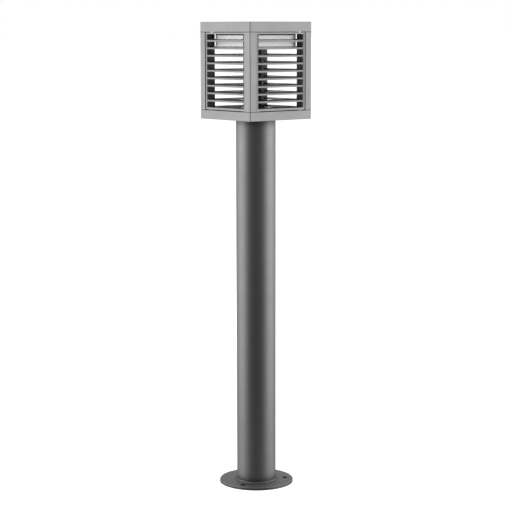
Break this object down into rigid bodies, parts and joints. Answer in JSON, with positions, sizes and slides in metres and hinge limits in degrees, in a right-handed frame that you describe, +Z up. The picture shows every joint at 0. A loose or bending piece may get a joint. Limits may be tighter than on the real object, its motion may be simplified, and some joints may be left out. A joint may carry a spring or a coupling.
{
  "type": "bollard light",
  "caption": "Bollard light with a square louvred lantern head on a round tube post, standing on a drilled round base flange.",
  "frame": {"origin": "centre of the base flange's underside, on the ground", "axes": "+Z up along the post; the faces of the lantern head look along X and Y"},
  "size_m": [0.15, 0.15, 0.895],
  "materials": {
    "powder_coat": "satin grey powder coat with fine texture",
    "frame_coat": "satin grey powder coat",
    "blade_coat": "satin grey powder coat",
    "cover_coat": "matt black powder coat",
    "steel_screws": "stainless steel",
    "rubber": "matt black rubber",
    "bare_aluminium": "bare extruded aluminium",
    "zinc_steel": "zinc plated steel",
    "white_plastic": "satin off-white plastic",
    "cable_sheath": "matt black cable sheath",
    "earth_sheath": "green earth wire sheath",
    "brass": "plain brass",
    "black_plastic": "matt black plastic",
    "opal": "satin opal acrylic",
    "board": "white solder mask",
    "led": "yellow phosphor"
  },
  "bodies": {
    "post": {"base_flange": "powder_coat", "entry_grommet": "rubber", "post_tube": "powder_coat", "spigot": "bare_aluminium", "set_screws": "steel_screws", "spigot_screws": "steel_screws", "gear_bracket": "zinc_steel", "bracket_screws": "steel_screws", "driver": "white_plastic", "driver_screws": "steel_screws", "terminal_block": "white_plastic", "terminal_screws": "brass", "driver_lead": "cable_sheath", "earth_stud": "brass", "earth_lug": "brass", "earth_lead": "earth_sheath", "cord_clamp": "black_plastic", "clamp_screws": "steel_screws", "tray": "powder_coat", "tray_cover": "cover_coat", "corner_post_near": "powder_coat", "corner_post_right": "powder_coat", "corner_post_back": "powder_coat", "corner_post_left": "powder_coat", "post_seals": "rubber", "corner_screws": "steel_screws", "frame_front": "frame_coat", "frame_right": "frame_coat", "frame_back": "frame_coat", "frame_left": "frame_coat", "blades_front": "blade_coat", "blades_right": "blade_coat", "blades_back": "blade_coat", "blades_left": "blade_coat", "combs_front": "black_plastic", "combs_right": "black_plastic", "combs_back": "black_plastic", "combs_left": "black_plastic", "frame_screws": "steel_screws", "conduit": "black_plastic", "conduit_nuts": "black_plastic", "lamp_cable": "cable_sheath", "lamp_plug": "black_plastic"},
    "roof": {"roof_cap": "powder_coat", "roof_screws": "steel_screws", "roof_plate": "bare_aluminium", "roof_gasket": "rubber", "diffuser": "opal", "diffuser_gasket": "rubber", "diffuser_screws": "steel_screws", "led_board": "board", "led_chips": "led", "heat_sink": "bare_aluminium", "sink_screws": "steel_screws", "lamp_socket": "black_plastic", "module_lead": "cable_sheath"}
  },
  "joints": [
    {"name": "roof_lift", "type": "slide", "parent": "post", "child": "roof", "axis": [0, 0, 1], "range_m": [0, 0.06]}
  ]
}
